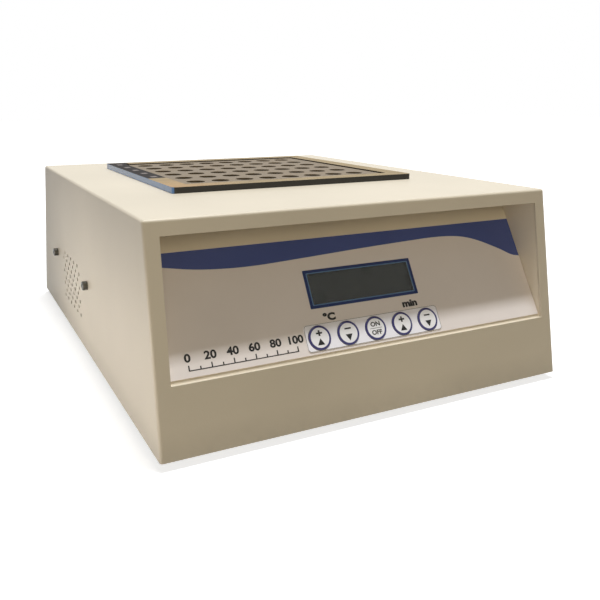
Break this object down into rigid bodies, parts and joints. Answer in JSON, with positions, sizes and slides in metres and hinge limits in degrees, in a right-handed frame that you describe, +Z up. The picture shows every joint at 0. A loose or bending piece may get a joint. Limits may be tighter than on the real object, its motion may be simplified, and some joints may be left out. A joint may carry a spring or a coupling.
{
  "type": "dry block heater",
  "caption": "Bench-top dry block heater: sheet-metal case with a recessed sloping keypad panel, and a lift-out aluminium block with wells for tubes.",
  "frame": {"origin": "on the bench, under the middle of the case", "axes": "+X to the user's right, +Y from the control panel to the back, +Z up"},
  "size_m": [0.308, 0.415, 0.143],
  "materials": {
    "cover_paint": "satin powder coat, warm beige",
    "base_paint": "satin powder coat, warm beige",
    "rear_paint": "satin powder coat, warm beige",
    "recess_paint": "satin powder coat, warm beige",
    "overlay_print": "printed polyester sheet, fine matt texture",
    "keypad_print": "printed polyester film, satin",
    "window_clear": "clear, slightly smoked",
    "lcd_screen": "dark liquid-crystal glass, unlit",
    "circuit_board": "green solder resist",
    "temp_up_print": "domed key, printed",
    "temp_down_print": "domed key, printed",
    "start_print": "domed key, printed",
    "time_up_print": "domed key, printed",
    "time_down_print": "domed key, printed",
    "board_part_plastic": "moulded",
    "transformer_core": "laminated steel, varnished",
    "frame_laminate": "satin top, dark glossy edge",
    "block_aluminium": "fine milled, satin anodised",
    "silicone_rubber": "matt",
    "mineral_wool": "fibrous",
    "zinc_plate": "bright zinc plate",
    "zinc_sheet": "galvanised sheet",
    "black_plastic": "moulded, fine texture",
    "fan_plastic": "moulded",
    "black_screw": "blackened steel",
    "brass_pins": "nickelled brass",
    "rocker_plastic": "moulded, polished",
    "foot_rubber": "matt"
  },
  "bodies": {
    "case": {"cover_shell": "cover_paint", "base_tray": "base_paint", "rear_panel": "rear_paint", "panel_carrier": "recess_paint", "control_overlay": "overlay_print", "keypad_film": "keypad_print", "display_window": "window_clear", "lcd_bezel": "black_plastic", "lcd_glass": "lcd_screen", "lcd_board": "circuit_board", "key_switches": "black_plastic", "key_board": "circuit_board", "panel_studs": "zinc_plate", "control_board": "circuit_board", "board_parts": "board_part_plastic", "board_standoffs": "zinc_plate", "mains_transformer": "transformer_core", "solid_state_relay": "black_plastic", "block_frame": "frame_laminate", "frame_studs": "zinc_plate", "heater_plate": "block_aluminium", "heating_mat": "silicone_rubber", "thermal_cutout": "black_plastic", "temperature_probe": "zinc_plate", "insulation": "mineral_wool", "heater_housing": "zinc_sheet", "housing_posts": "zinc_plate", "fan_bracket": "zinc_sheet", "cover_brackets": "zinc_sheet", "fan_frame": "black_plastic", "fan_screws": "zinc_plate", "bracket_spacers": "zinc_plate", "cover_screws": "black_screw", "power_inlet": "black_plastic", "inlet_pins": "brass_pins", "fuse_holder": "black_plastic", "power_switch": "black_plastic", "rear_screws": "zinc_plate", "inlet_screws": "zinc_plate", "feet": "foot_rubber", "foot_screws": "zinc_plate", "base_screws": "zinc_plate"},
    "temp_up_key": {"temp_up_key": "temp_up_print"},
    "temp_down_key": {"temp_down_key": "temp_down_print"},
    "start_key": {"start_key": "start_print"},
    "time_up_key": {"time_up_key": "time_up_print"},
    "time_down_key": {"time_down_key": "time_down_print"},
    "block": {"tube_block": "block_aluminium"},
    "fan_rotor": {"fan_rotor": "fan_plastic"},
    "fuse_cap": {"fuse_cap": "black_plastic"},
    "rocker": {"switch_rocker": "rocker_plastic"}
  },
  "joints": [
    {"name": "temp_up_press", "type": "slide", "parent": "case", "child": "temp_up_key", "axis": [0, 0.8704, -0.4924], "range_m": [0, 0.0004], "stiffness_N_per_m": 1000, "springref_m": -0.0005},
    {"name": "temp_down_press", "type": "slide", "parent": "case", "child": "temp_down_key", "axis": [0, 0.8704, -0.4924], "range_m": [0, 0.0004], "stiffness_N_per_m": 1000, "springref_m": -0.0005},
    {"name": "start_press", "type": "slide", "parent": "case", "child": "start_key", "axis": [0, 0.8704, -0.4924], "range_m": [0, 0.0004], "stiffness_N_per_m": 1000, "springref_m": -0.0005},
    {"name": "time_up_press", "type": "slide", "parent": "case", "child": "time_up_key", "axis": [0, 0.8704, -0.4924], "range_m": [0, 0.0004], "stiffness_N_per_m": 1000, "springref_m": -0.0005},
    {"name": "time_down_press", "type": "slide", "parent": "case", "child": "time_down_key", "axis": [0, 0.8704, -0.4924], "range_m": [0, 0.0004], "stiffness_N_per_m": 1000, "springref_m": -0.0005},
    {"name": "block_lift", "type": "slide", "parent": "case", "child": "block", "axis": [0, 0, 1], "range_m": [0, 0.06]},
    {"name": "fan_spin", "type": "hinge", "parent": "case", "child": "fan_rotor", "pos_m": [-0.1321, 0.0451, 0.0493], "axis": [1, 0, 0], "continuous": true},
    {"name": "fuse_cap_pull", "type": "slide", "parent": "case", "child": "fuse_cap", "axis": [0, 0.9511, 0.309], "range_m": [0, 0.015]},
    {"name": "switch_rock", "type": "hinge", "parent": "case", "child": "rocker", "pos_m": [0.048, 0.19024, 0.04355], "axis": [0, -0.309, 0.9511], "range_deg": [-18, 0]}
  ]
}
